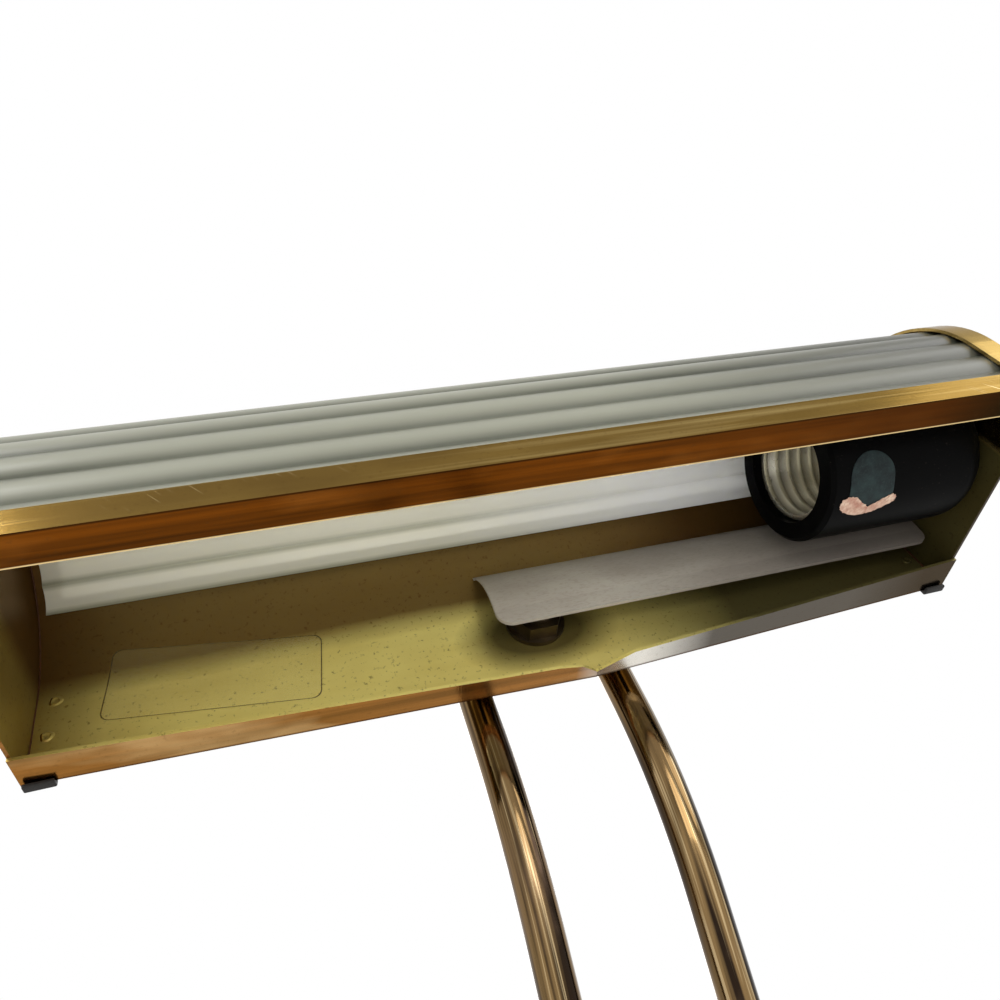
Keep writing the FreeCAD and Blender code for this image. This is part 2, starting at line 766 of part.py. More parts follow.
def rounded_rectangle(body, name, width, depth, corner, lift):
    """A plan outline whose corners are arcs."""
    w = width / 2
    d = depth / 2
    inner_w = w - corner
    inner_d = d - corner
    bow = corner * arc_share
    corners = [
        (inner_w, -d), ("arc", inner_w + bow, -inner_d - bow), (w, -inner_d),
        (w, inner_d), ("arc", inner_w + bow, inner_d + bow), (inner_w, d),
        (-inner_w, d), ("arc", -inner_w - bow, inner_d + bow), (-w, inner_d),
        (-w, -inner_d), ("arc", -inner_w - bow, -inner_d - bow), (-inner_w, -d),
    ]
    return outline(body, name, corners, "XY_Plane", lift)


def make_base_cover():
    body = new_body("base_cover")
    foot = S["felt_thick"]
    wall = S["base_wall"]
    top = S["base_top"]
    edge = S["base_edge"]
    width = S["base_width"]
    depth = S["base_depth"]
    corner = S["base_corner"]
    block = pad(body, rounded_rectangle(body, "Plan", width, depth, corner, foot), top - foot)
    rounded = body.newObject("PartDesign::Fillet", "TopEdge")
    rounded.Base = (block, top_edges(block.Shape, top.value))
    bind(rounded, "Radius", edge)
    doc.recompute()
    hollow = rounded_rectangle(body, "Hollow", width - wall * 2, depth - wall * 2, corner - wall, foot)
    pocket(body, hollow, top - edge - foot, reverse=True)
    upper = rounded_rectangle(body, "Upper", width - edge * 2, depth - edge * 2, corner - edge, foot)
    pocket(body, upper, top - foot - wall, reverse=True)
    thread = S["thread_gap"] * 2
    post = circle(body, "PostHole", S["nipple_radius"] + thread, (0, S["base_pivot_y"]), lift=top)
    pocket(body, post, wall * 2)
    switch = circle(body, "SwitchHole", S["bushing_radius"] + thread, switch_place, lift=top)
    pocket(body, switch, wall * 2)
    inlet = circle(body, "Inlet", S["inlet_radius"] - past, (0, S["inlet_height"]), "XZ_Plane",
                   -depth / 2 - past)
    pocket(body, inlet, wall * 2 + past, reverse=True)


def top_edges(shape, height):
    names = []
    for number, edge in enumerate(shape.Edges, start=1):
        if edge.BoundBox.ZMin > height - tiny:
            names.append("Edge" + str(number))
    return names


def make_base_floor():
    rows = [
        ("bottom_plate", S["felt_thick"], S["plate_thick"], S["base_wall"] * 2 + S["seat_gap"]),
        ("felt_pad", as_size(0), S["felt_thick"], S["felt_inset"]),
    ]
    for label, low, thick, extra in rows:
        body = new_body(label)
        plan = rounded_rectangle(body, "Plan", S["base_width"] - extra, S["base_depth"] - extra,
                                 S["base_corner"] - extra / 2, low)
        pad(body, plan, thick)


def switch_outline(body, name, gap, lift):
    """A rectangle round the switch's case, larger by gap on every side."""
    x, y = switch_place
    half_l = S["switch_length"] / 2 + gap
    half_w = S["switch_width"] / 2 + gap
    corners = [
        (x - half_l, y - half_w), (x + half_l, y - half_w),
        (x + half_l, y + half_w), (x - half_l, y + half_w),
    ]
    return outline(body, name, corners, "XY_Plane", lift)


def make_weight():
    """A cast slab with room for the switch, the nut under the post and the wires."""
    body = new_body("base_weight")
    low = S["felt_thick"] + S["plate_thick"]
    extra = S["base_wall"] * 2 + S["base_edge"]
    top = S["base_top"] - S["weight_gap"]
    height = top - low
    plan = rounded_rectangle(body, "Plan", S["base_width"] - extra, S["base_depth"] - extra,
                             S["base_corner"] - extra / 2, low)
    pad(body, plan, height)
    pocket(body, switch_outline(body, "SwitchWell", S["well_gap"], top), height)
    well = circle(body, "NippleWell", S["nipple_radius"] + S["nut_well"], (0, S["base_pivot_y"]),
                  lift=top)
    pocket(body, well, height)
    back = S["base_depth"] / 2
    way = S["wire_way"]
    wire_way = [(-way, S["base_pivot_y"]), (way, S["base_pivot_y"]), (way, back), (-way, back)]
    pocket(body, outline(body, "WireWay", wire_way, "XY_Plane", top), height)


def make_post():
    """The turned stem under the base barrel, its nipple and the nut inside the base."""
    foot = S["base_top"] + touch
    rise = base_pivot_z - S["pivot_setback"] - foot - touch
    hole = S["nipple_radius"] + S["thread_gap"]
    wide = S["post_foot"]
    waist = S["post_waist"]
    collar = S["post_collar"]
    step = collar * 2
    corners = [
        (hole, 0), (wide, 0), (wide, step), (wide - collar, step + collar),
        (waist + step, step * 2), (waist, rise - step - collar), (waist + collar, rise - step),
        (waist + collar, rise), (hole, rise),
    ]
    turned("base_post", corners, (0, S["base_pivot_y"], foot))
    low = S["base_top"] - S["base_nipple_reach"]
    high = base_pivot_z - S["nipple_inset"]
    turned("base_nipple", ring(S["nipple_radius"], S["nipple_bore"], high - low),
           (0, S["base_pivot_y"], low))
    nut_low = S["base_top"] - S["base_wall"] - touch - S["nut_thick"]
    turned("base_nut", ring(S["nut_across"] / 2, hole, S["nut_thick"]),
           (0, S["base_pivot_y"], nut_low))


# Switch and cord inlet

def make_switch():
    """Case and bushing in one, a bezel on the cover and the button that slides in the bushing."""
    x, y = switch_place
    under = S["base_top"] - S["base_wall"] - touch
    low = S["felt_thick"] + S["plate_thick"] + S["switch_lift"]
    top = S["base_top"] + S["bezel_thick"] + S["bushing_proud"]
    body = new_body("switch_body")
    pad(body, switch_outline(body, "Case", as_size(0), low), under - low)
    pad(body, circle(body, "Bushing", S["bushing_radius"], switch_place, lift=under), top - under)
    bore = circle(body, "ButtonBore", S["button_radius"] + S["running_gap"], switch_place, lift=top)
    pocket(body, bore, S["button_travel"] + S["button_room"])
    hole = S["bushing_radius"] + S["thread_gap"]
    wide = S["bezel_radius"]
    thick = S["bezel_thick"]
    bezel = [
        (hole, 0), (wide, 0), (wide, S["bezel_edge"]), (wide - S["bezel_slope"], thick), (hole, thick),
    ]
    turned("switch_bezel", bezel, (x, y, S["base_top"] + touch))
    radius = S["button_radius"]
    start = top - S["button_buried"]
    length = S["button_buried"] + S["button_proud"]
    crown = S["button_crown"]
    button = [
        (0, 0), (radius, 0), (radius, length - crown),
        ("arc", radius - crown / 2, length - crown / 4), (crown, length), (0, length),
    ]
    turned("switch_button", button, (x, y, start))


def make_cord_inlet():
    """A rubber bushing in the base's rear wall, whose groove holds the wall."""
    neck = S["inlet_radius"] - S["inlet_groove"]
    wide = S["inlet_radius"] + S["inlet_flange"]
    bore = S["inlet_bore"]
    wall = S["base_wall"]
    inside = -S["inlet_inside"]
    inner = S["inlet_radius"]
    outside = wall + S["inlet_outside"]
    nose = wall + S["inlet_nose"]
    corners = [
        (bore, inside), (inner, inside), (inner, -touch), (neck, -touch), (neck, wall + touch),
        (wide, wall + touch), (wide, outside), (inner, nose), (bore, nose),
    ]
    turned("cord_inlet", corners, (0, S["base_depth"] / 2 - wall, S["inlet_height"]), "Y")


make_shade_shell()
make_end_plates()
make_bumpers()
make_ribbed_glass()
make_glass_clips()
make_holder()
make_screw_shell()
make_contact()
make_wire_cover()
make_leads()
make_panel_fixing()
make_barrel("shade_barrel", (as_size(0), top_pivot_y, top_pivot_z), "-Y")
make_barrel("base_barrel", (as_size(0), S["base_pivot_y"], base_pivot_z), "-Z")
make_swivel("shade", (as_size(0), top_pivot_y, top_pivot_z))
make_swivel("base", (as_size(0), S["base_pivot_y"], base_pivot_z))
make_arm("arm_left", -1)
make_arm("arm_right", 1)
make_base_cover()
make_base_floor()
make_weight()
make_post()
make_switch()
make_cord_inlet()
doc.recompute()

faults = [item.Name for item in doc.Objects if "Invalid" in item.State or "Error" in item.State]
for item in parts:
    if item.Shape.isNull() or not item.Shape.isValid() or not item.Shape.Solids:
        faults.append(item.Label)
if faults:
    raise ValueError("these did not build: " + ", ".join(faults))

os.makedirs("parts", exist_ok=True)
for item in parts:
    item.Shape.exportStep("parts/" + item.Label + ".step")
    print(item.Label, len(item.Shape.Solids), round(item.Shape.Volume, 1))
print("parts:", len(parts))
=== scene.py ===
import json
import math
import random

import bmesh
import bpy
from mathutils import Matrix, Vector


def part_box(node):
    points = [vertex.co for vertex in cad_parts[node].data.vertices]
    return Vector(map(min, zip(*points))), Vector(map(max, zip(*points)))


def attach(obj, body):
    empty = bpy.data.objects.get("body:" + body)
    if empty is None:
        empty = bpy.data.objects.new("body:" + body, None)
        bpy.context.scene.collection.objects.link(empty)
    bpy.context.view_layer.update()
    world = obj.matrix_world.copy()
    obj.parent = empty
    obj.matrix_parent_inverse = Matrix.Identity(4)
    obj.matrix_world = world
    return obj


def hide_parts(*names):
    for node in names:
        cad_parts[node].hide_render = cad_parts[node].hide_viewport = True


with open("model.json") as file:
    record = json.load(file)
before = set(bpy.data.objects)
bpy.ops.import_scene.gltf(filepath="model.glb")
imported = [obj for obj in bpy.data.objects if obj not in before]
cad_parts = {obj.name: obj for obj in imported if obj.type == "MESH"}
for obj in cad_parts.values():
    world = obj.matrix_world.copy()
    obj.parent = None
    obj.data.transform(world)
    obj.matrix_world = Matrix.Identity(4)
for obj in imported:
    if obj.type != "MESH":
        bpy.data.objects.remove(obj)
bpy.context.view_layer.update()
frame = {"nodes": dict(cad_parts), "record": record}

nodes = frame["nodes"]

# The camera was fitted to the shade's straight edges in a frame of 1000 x 1000 pixels.
FRAME_PIXELS = 1000
FOCAL_PIXELS = 793.4
SENSOR_MM = 36
CLIP_START = 0.01
# It stands this share of the shade's length from the shade's front left lower corner.
CAMERA_SHARES = Vector((0.2562, -0.3771, -0.4724))
VIEW_RIGHT = Vector((0.9537, -0.0552, -0.2958))
VIEW_DOWN = Vector((-0.1486, 0.7686, -0.6223))

# Sizes of the CAD pieces, in metres.
SHEET = 0.0008
STRAIGHT_WALL = 0.021
LIP = 0.0076
GLASS_THICK = 0.0024
RIB_RISE = 0.0009
HOLDER_RADIUS = 0.0194

# The looks' own limits, which lie a little off the faces that they stand for.
GLASS_MARGIN = 0.0001
GROOVE_INSET = 0.0004

# Places read from the loaded nodes.
SHADE_LOW, SHADE_HIGH = (Vector(corner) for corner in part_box("shade_shell"))
FRONT_Y = SHADE_LOW.y
REAR_Y = SHADE_HIGH.y
LEFT_X = SHADE_LOW.x
RIGHT_X = SHADE_HIGH.x
SHADE_LENGTH = RIGHT_X - LEFT_X
OPENING_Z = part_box("end_plate_left")[0][2] - SHEET
MIDDLE_Y = (FRONT_Y + REAR_Y) / 2
# The shade's wall is straight up to this height and an arc above it.
CURVE_Z = OPENING_Z + STRAIGHT_WALL
INSIDE_RADIUS = (REAR_Y - FRONT_Y) / 2 - SHEET
GLASS_OUT = INSIDE_RADIUS - GLASS_MARGIN
GLASS_IN = GLASS_OUT - GLASS_THICK
HOLDER_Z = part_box("lamp_holder")[0].z + HOLDER_RADIUS
SHELL_LOW, SHELL_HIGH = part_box("screw_shell")
# The bottom of the screw shell's grooves, as seen from inside it.
GROOVE_RADIUS = (SHELL_HIGH.y - SHELL_LOW.y) / 2 - GROOVE_INSET

# Sizes of the added pieces, in metres.
PAPER_THICK = 0.00008
TEAR_THICK = 0.00014
# The rings of a laid sheet lie at these shares of its outline, inside its rim.
RING_SHARES = (0.86, 0.7, 0.5, 0.3, 0.12)

# The stage.
SOFT_STRENGTH = 0.85
WHITE_STRENGTH = 1.0
FLOOR_SIZE = 60.0


# Shader helpers

class Shader:
    """Builds one node material. Sockets take numbers, colours or other nodes' outputs."""

    def __init__(self, name):
        self.material = bpy.data.materials.new(name)
        self.material.use_nodes = True
        self.tree = self.material.node_tree
        self.tree.nodes.clear()
        self.output = self.tree.nodes.new("ShaderNodeOutputMaterial")

    def node(self, kind, inputs=None, **settings):
        made = self.tree.nodes.new("ShaderNode" + kind)
        for key, value in settings.items():
            setattr(made, key, value)
        for key, value in (inputs or {}).items():
            self.put(made.inputs[key], value)
        return made

    def put(self, socket, value):
        if isinstance(value, bpy.types.NodeSocket):
            self.tree.links.new(value, socket)
        else:
            socket.default_value = value

    def coords(self, scale=(1, 1, 1)):
        """Object coordinates in metres, scaled along each axis."""
        where = self.node("TexCoord").outputs["Object"]
        return self.node("Mapping", {"Vector": where, "Scale": scale}).outputs["Vector"]

    def axes(self, name):
        """The three parts of the object's own Object or Normal coordinates."""
        where = self.node("TexCoord").outputs[name]
        return self.node("SeparateXYZ", {"Vector": where}).outputs[:3]

    def noise(self, where, scale, detail=3.0, rough=0.55):
        return self.node("TexNoise", {"Vector": where, "Scale": scale, "Detail": detail,
                                      "Roughness": rough}).outputs["Fac"]

    def ramp(self, fac, low, high, start=0.0, end=1.0):
        """Maps start..end of fac to low..high, clamped."""
        return self.node("MapRange", {"Value": fac, "From Min": start, "From Max": end,
                                      "To Min": low, "To Max": high}).outputs["Result"]

    def mix(self, fac, one, two):
        mixer = self.node("Mix", data_type="RGBA")
        self.put(mixer.inputs[0], fac)
        self.put(mixer.inputs[6], one)
        self.put(mixer.inputs[7], two)
        return mixer.outputs[2]

    def math(self, operation, one, two=0.0):
        made = self.node("Math", operation=operation)
        self.put(made.inputs[0], one)
        self.put(made.inputs[1], two)
        return made.outputs[0]

    def length(self, one, two):
        """The square root of the sum of two squares."""
        return self.math("SQRT", self.math("ADD", self.math("MULTIPLY", one, one),
                                           self.math("MULTIPLY", two, two)))

    def bump(self, height, strength, distance):
        return self.node("Bump", {"Height": height, "Strength": strength,
                                  "Distance": distance}).outputs["Normal"]

    def surface(self, **inputs):
        named = {key.replace("_", " "): value for key, value in inputs.items()}
        body = self.node("BsdfPrincipled", named)
        self.tree.links.new(body.outputs[0], self.output.inputs["Surface"])
        return self.material


def colour(red, green, blue):
    return (red, green, blue, 1.0)


def shown(red, green, blue):
    """The linear colour that renders as this 0 to 255 screen colour."""
    parts = [part / 255 for part in (red, green, blue)]
    return colour(*(part / 12.92 if part <= 0.04045 else ((part + 0.055) / 1.055) ** 2.4
                    for part in parts))


# Materials

def polished_brass():
    """Lacquered sheet: fine rolling lines, rub marks and freckles of tarnish."""
    make = Shader("polished_brass")
    fine = make.noise(make.coords((60, 900, 900)), 1.0, 2.0)
    cloud = make.noise(make.coords(), 38.0, 4.0)
    freckle = make.noise(make.coords(), 900.0, 2.0, 0.7)
    spots = make.ramp(freckle, 0.0, 1.0, 0.66, 0.74)
    base = make.mix(make.ramp(cloud, 0.0, 1.0, 0.35, 0.7), shown(182, 146, 80),
                    shown(160, 125, 62))
    tint = make.mix(make.math("MULTIPLY", spots, 0.55), base, shown(78, 54, 26))
    rough = make.math("ADD", make.ramp(cloud, 0.13, 0.24, 0.3, 0.75),
                      make.math("MULTIPLY", spots, 0.2))
    return make.surface(Base_Color=tint, Metallic=1.0, Roughness=rough,
                        Normal=make.bump(fine, 0.10, 0.00012))


def shade_brass():
    """The folded sheet: brushed outside, painted orange reflections on the folds, speckled lacquer
    inside, with painted highlights and painted shade.

    Its regions are told apart by place and facing in the part's own frame.
    """
    make = Shader("shade_brass")
    x, y, z = make.axes("Object")
    facing_x, facing_y, facing_z = make.axes("Normal")
    fine = make.noise(make.coords((50, 1500, 1500)), 1.0, 2.0)
    cloud = make.noise(make.coords((14, 40, 40)), 1.0, 4.0)
    streaks_and_highlights = make.noise(make.coords((9, 420, 420)), 1.0, 3.0)
    freckle = make.ramp(make.noise(make.coords(), 820.0, 2.0, 0.7), 0.0, 1.0, 0.60, 0.72)
    slanted = make.node("Mapping", {"Vector": make.node("TexCoord").outputs["Object"],
                                    "Rotation": (0, math.radians(38), 0)}).outputs["Vector"]
    slanted = make.node("Mapping", {"Vector": slanted, "Scale": (2600, 60, 90)}).outputs["Vector"]
    scratch_here = make.ramp(make.noise(make.coords((26, 60, 60)), 1.0, 2.0), 0.0, 1.0, 0.5, 0.62)
    scratch = make.math("MULTIPLY", make.ramp(make.noise(slanted, 1.0, 1.0), 0.0, 1.0, 0.66, 0.74),
                        scratch_here)

    outside = make.mix(make.ramp(cloud, 0.0, 1.0, 0.34, 0.66), shown(128, 103, 52),
                       shown(98, 76, 38))
    # Painted highlights: lighter streaks on the outside, and both ends of the outside lighter.
    outside = make.mix(make.ramp(streaks_and_highlights, 0.0, 0.75, 0.5, 0.72), outside, shown(172, 150, 98))
    right_end_highlight = make.ramp(x, 0.0, 0.8, RIGHT_X - 0.014, RIGHT_X - 0.005)
    outside = make.mix(right_end_highlight, outside, shown(176, 150, 90))
    left_end_highlight = make.ramp(x, 0.5, 0.0, LEFT_X + 0.002, LEFT_X + 0.02)
    outside = make.mix(left_end_highlight, outside, shown(176, 144, 84))
    outside = make.mix(make.math("MULTIPLY", scratch, 0.5), outside, shown(214, 194, 150))

    # The folds' orange brown is a painted reflection. On the front fold: painted highlights in
    # patches, painted shade darkening to the right end, a dark painted line of shade along the
    # fold and a painted highlight along the free edge.
    lip = make.mix(make.ramp(streaks_and_highlights, 0.0, 1.0, 0.36, 0.66), shown(108, 58, 12), shown(64, 35, 9))
    lip = make.mix(make.ramp(cloud, 0.0, 0.45, 0.5, 0.68), lip, shown(176, 112, 46))
    lip = make.mix(make.ramp(x, 0.0, 0.75, 0.01, 0.075), lip, shown(64, 30, 9))
    lip = make.mix(make.ramp(x, 0.0, 0.95, 0.084, 0.108), lip, shown(9, 9, 6))
    lip = make.mix(make.ramp(y, 0.9, 0.0, FRONT_Y + 0.0003, FRONT_Y + 0.0006), lip,
                   shown(50, 28, 8))
    lip = make.mix(make.ramp(y, 0.0, 0.8, FRONT_Y + LIP - 0.0004, FRONT_Y + LIP - 0.0002), lip,
                   shown(236, 208, 150))

    panel = make.mix(make.ramp(cloud, 0.0, 1.0, 0.34, 0.7), shown(236, 222, 136),
                     shown(206, 184, 98))
    panel = make.mix(make.math("MULTIPLY", freckle, 0.5), panel, shown(96, 78, 34))
    # Painted shade: the inside wall darker on its right part and at its left end.
    panel = make.mix(make.ramp(x, 0.0, 0.9, 0.02, 0.055), panel, shown(56, 50, 28))
    panel = make.mix(make.ramp(x, 0.8, 0.0, LEFT_X + 0.001, LEFT_X + 0.016), panel,
                     shown(118, 92, 34))
    # A painted shadow on the inside wall round the nut, below the wire cover.
    cover_shadow_z = OPENING_Z + 0.0125
    squared = make.math("ADD", make.math("POWER", make.math("MULTIPLY", x, 0.55), 2.0),
                        make.math("POWER", make.math("SUBTRACT", z, cover_shadow_z), 2.0))
    cover_shadow = make.ramp(make.math("SQRT", squared), 0.85, 0.0, 0.0065, 0.0125)
    panel = make.mix(cover_shadow, panel, shown(58, 46, 20))
    band = make.ramp(make.math("ADD", z, make.math("MULTIPLY", cloud, 0.004)),
                     0.0, 0.9, CURVE_Z + 0.0005, CURVE_Z + 0.0075)
    panel = make.mix(band, panel, shown(92, 62, 26))

    # The rear fold's colour is a painted reflection too: painted highlights in patches, a pale
    # painted reflection and then grey right of the arms, painted shade at the right end and a dark
    # painted line of shade along the fold.
    rear = make.mix(make.ramp(streaks_and_highlights, 0.0, 1.0, 0.36, 0.66), shown(146, 98, 46),
                    shown(112, 76, 34))
    rear = make.mix(make.ramp(cloud, 0.0, 0.6, 0.52, 0.66), rear, shown(206, 172, 118))
    rear = make.mix(make.ramp(x, 0.0, 0.85, 0.004, 0.016), rear, shown(232, 231, 224))
    rear = make.mix(make.ramp(x, 0.0, 0.9, 0.022, 0.042), rear, shown(56, 51, 47))
    rear = make.mix(make.ramp(x, 0.0, 0.7, 0.085, 0.11), rear, shown(40, 28, 18))
    rear = make.mix(make.ramp(y, 0.0, 0.8, REAR_Y - 0.0008, REAR_Y - 0.0003), rear,
                    shown(60, 34, 14))

    down = make.ramp(facing_z, 0.0, 1.0, -0.35, -0.5)
    ahead = make.ramp(y, 1.0, 0.0, MIDDLE_Y - 0.012, MIDDLE_Y - 0.010)
    low = make.ramp(z, 1.0, 0.0, OPENING_Z + 0.0105, OPENING_Z + 0.0108)
    inward = make.math("ADD", make.math("MULTIPLY", facing_y, make.math("SUBTRACT", y, MIDDLE_Y)),
                       make.math("MULTIPLY", facing_z, make.math("MAXIMUM",
                                 make.math("SUBTRACT", z, CURVE_Z), 0.0)))
    inward = make.math("ADD", inward, make.math("MULTIPLY", facing_x, x))
    inside = make.math("MULTIPLY", make.ramp(inward, 1.0, 0.0, -0.002, 0.002),
                       make.math("SUBTRACT", 1.0, ahead))
    folded = make.math("MULTIPLY", down, low)
    tint = make.mix(inside, outside, panel)
    tint = make.mix(make.math("MULTIPLY", folded, ahead), tint, lip)
    tint = make.mix(make.math("MULTIPLY", folded, make.math("SUBTRACT", 1.0, ahead)), tint, rear)
    tint = make.mix(make.math("MULTIPLY", freckle, 0.22), tint, shown(70, 48, 22))

    rough = make.math("ADD", make.ramp(cloud, 0.14, 0.26, 0.3, 0.75),
                      make.math("MULTIPLY", inside, 0.14))
    return make.surface(Base_Color=tint, Metallic=make.ramp(inside, 1.0, 0.62), Roughness=rough,
                        Specular_Tint=colour(0.66, 0.61, 0.54),
                        Normal=make.bump(make.math("ADD", fine, scratch), 0.12, 0.00012))


def tube_brass():
    """Drawn tube: painted reflections in light and dark streaks along its length."""
    make = Shader("tube_brass")
    broad = make.noise(make.coords((330, 9, 9)), 1.0, 1.5)
    thin = make.noise(make.coords((1500, 16, 16)), 1.0, 2.0)
    cloud = make.noise(make.coords(), 60.0, 3.0)
    # Painted reflections: dark and light streaks, and a painted highlight line.
    base = make.mix(make.ramp(broad, 0.0, 1.0, 0.44, 0.55), shown(124, 100, 66),
                    shown(40, 31, 24))
    base = make.mix(make.ramp(thin, 0.0, 0.7, 0.5, 0.68), base, shown(44, 33, 24))
    base = make.mix(make.ramp(thin, 0.6, 0.0, 0.34, 0.42), base, shown(202, 178, 136))
    base = make.mix(make.ramp(cloud, 0.0, 0.3, 0.5, 0.75), base, shown(128, 104, 84))
    rough = make.ramp(cloud, 0.09, 0.2, 0.35, 0.7)
    return make.surface(Base_Color=base, Metallic=1.0, Roughness=rough,
                        Normal=make.bump(thin, 0.06, 0.0001))


def raw_brass():
    make = Shader("raw_brass")
    cloud = make.noise(make.coords(), 120.0, 3.0)
    base = make.mix(cloud, colour(0.50, 0.38, 0.15), colour(0.32, 0.22, 0.08))
    return make.surface(Base_Color=base, Metallic=1.0, Roughness=make.ramp(cloud, 0.25, 0.45),
                        Normal=make.bump(cloud, 0.1, 0.0001))


def frosted_glass():
    """Reeded pane: painted shade in the outer grooves with painted highlights on the crests,
    painted shade in the inner hollows, and an etched white skin inside that is painted brighter to
    the right.
    """
    make = Shader("frosted_glass")
    x, y, z = make.axes("Object")
    facing_y, facing_z = make.axes("Normal")[1:]
    across = make.math("SUBTRACT", y, MIDDLE_Y)
    above = make.math("MAXIMUM", make.math("SUBTRACT", z, CURVE_Z), 0.0)
    outward = make.math("ADD", make.math("MULTIPLY", facing_y, across),
                        make.math("MULTIPLY", facing_z, above))
    outside = make.ramp(outward, 0.0, 1.0, -0.001, 0.001)
    away = make.length(across, above)
    grain = make.noise(make.coords(), 2600.0, 2.0)
    cloud = make.noise(make.coords((6, 40, 40)), 1.0, 3.0)
    # Painted light on the outer ribs: dark grooves, light crests.
    rib_shading = make.ramp(away, 0.0, 1.0, GLASS_OUT - RIB_RISE, GLASS_OUT - 0.0001)
    outer = make.mix(rib_shading, shown(74, 76, 62), shown(150, 150, 134))
    # Painted shade: the outside darker towards the right.
    outer = make.mix(make.ramp(x, 0.0, 0.85, 0.01, 0.108), outer, shown(50, 50, 40))
    outer = make.mix(make.ramp(cloud, 0.0, 0.3, 0.4, 0.7), outer, shown(166, 166, 150))
    # Painted shade in the inner hollows.
    hollow_shading = make.ramp(away, 0.0, 1.0, GLASS_IN - RIB_RISE, GLASS_IN - RIB_RISE * 0.55)
    inner = make.mix(hollow_shading, shown(176, 176, 154), shown(236, 233, 216))
    # Painted light: the inside brighter towards the right.
    inner = make.mix(make.ramp(x, 0.0, 0.9, -0.02, 0.05), inner, shown(254, 254, 254))
    inner = make.mix(make.ramp(cloud, 0.0, 0.25, 0.4, 0.7), inner, shown(240, 240, 230))
    base = make.mix(outside, inner, outer)
    return make.surface(Base_Color=base, Roughness=make.ramp(cloud, 0.26, 0.4), IOR=1.5,
                        Specular_IOR_Level=0.3, Transmission_Weight=0.3, Subsurface_Weight=0.2,
                        Subsurface_Radius=(0.002, 0.002, 0.0015), Subsurface_Scale=1.0,
                        Normal=make.bump(grain, 0.12, 0.00008))


def black_rubber():
    make = Shader("black_rubber")
    grain = make.noise(make.coords(), 1500.0, 3.0)
    base = make.mix(grain, shown(20, 19, 18), shown(38, 35, 32))
    return make.surface(Base_Color=base, Roughness=make.ramp(grain, 0.5, 0.75),
                        Specular_IOR_Level=0.25, Normal=make.bump(grain, 0.25, 0.0001))


def phenolic():
    """Moulded black resin with a faint swirl and a film of dust."""
    make = Shader("phenolic")
    cloud = make.noise(make.coords(), 90.0, 4.0)
    speck = make.ramp(make.noise(make.coords(), 1300.0, 2.0), 0.0, 1.0, 0.68, 0.76)
    base = make.mix(make.math("MULTIPLY", speck, 0.3), shown(7, 7, 7), shown(70, 64, 56))
    return make.surface(Base_Color=base, Roughness=make.ramp(cloud, 0.3, 0.46),
                        Specular_IOR_Level=0.05, IOR=1.25, Normal=make.bump(cloud, 0.08, 0.0002))


def aluminium_shell():
    make = Shader("aluminium_shell")
    lines = make.noise(make.coords((120, 60, 60)), 1.0, 2.0)
    y, z = make.axes("Object")[1:]
    away = make.length(make.math("SUBTRACT", y, MIDDLE_Y), make.math("SUBTRACT", z, HOLDER_Z))
    base = make.mix(lines, shown(246, 243, 228), shown(220, 214, 194))
    # Painted shade in the grooves of the thread.
    base = make.mix(make.ramp(away, 0.0, 0.85, GROOVE_RADIUS - 0.0008, GROOVE_RADIUS), base,
                    shown(92, 84, 66))
    return make.surface(Base_Color=base, Metallic=0.75, Roughness=make.ramp(lines, 0.2, 0.34),
                        Normal=make.bump(lines, 0.1, 0.00008))


def grey_paint():
    """Matte warm grey card, rubbed and dusty, with painted shade darkening it towards its right
    end.
    """
    make = Shader("grey_paint")
    cloud = make.noise(make.coords((30, 90, 90)), 1.0, 4.0)
    grain = make.noise(make.coords((700, 2200, 2200)), 1.0, 2.0)
    base = make.mix(make.ramp(cloud, 0.0, 1.0, 0.35, 0.68), shown(172, 166, 154),
                    shown(150, 142, 131))
    base = make.mix(make.ramp(grain, 0.0, 0.5, 0.5, 0.75), base, shown(132, 122, 110))
    # Painted shade towards the right end.
    along = make.axes("Object")[0]
    base = make.mix(make.ramp(along, 0.0, 0.85, 0.016, 0.09), base, shown(78, 70, 64))
    return make.surface(Base_Color=base, Roughness=make.ramp(cloud, 0.5, 0.68),
                        Normal=make.bump(grain, 0.2, 0.00008))


def lead_sheath():
    make = Shader("lead_sheath")
    cloud = make.noise(make.coords(), 400.0, 2.0)
    base = make.mix(cloud, colour(0.03, 0.03, 0.03), colour(0.06, 0.06, 0.055))
    return make.surface(Base_Color=base, Roughness=make.ramp(cloud, 0.4, 0.55))


def dark_steel():
    make = Shader("dark_steel")
    cloud = make.noise(make.coords(), 260.0, 4.0)
    base = make.mix(cloud, colour(0.045, 0.035, 0.025), colour(0.14, 0.105, 0.06))
    return make.surface(Base_Color=base, Metallic=1.0, Roughness=make.ramp(cloud, 0.3, 0.5),
                        Normal=make.bump(cloud, 0.1, 0.0001))


def fibre():
    make = Shader("fibre")
    grain = make.noise(make.coords(), 1100.0, 4.0)
    base = make.mix(grain, colour(0.20, 0.06, 0.035), colour(0.32, 0.12, 0.07))
    return make.surface(Base_Color=base, Roughness=make.ramp(grain, 0.55, 0.75),
                        Normal=make.bump(grain, 0.2, 0.0001))


def felt():
    make = Shader("felt")
    fuzz = make.noise(make.coords(), 2400.0, 4.0, 0.8)
    patch = make.noise(make.coords(), 70.0, 3.0)
    base = make.mix(make.math("MULTIPLY", fuzz, patch), colour(0.012, 0.055, 0.028),
                    colour(0.05, 0.16, 0.085))
    return make.surface(Base_Color=base, Roughness=0.95, Sheen_Weight=0.5, Sheen_Roughness=0.5,
                        Normal=make.bump(fuzz, 0.7, 0.0004))


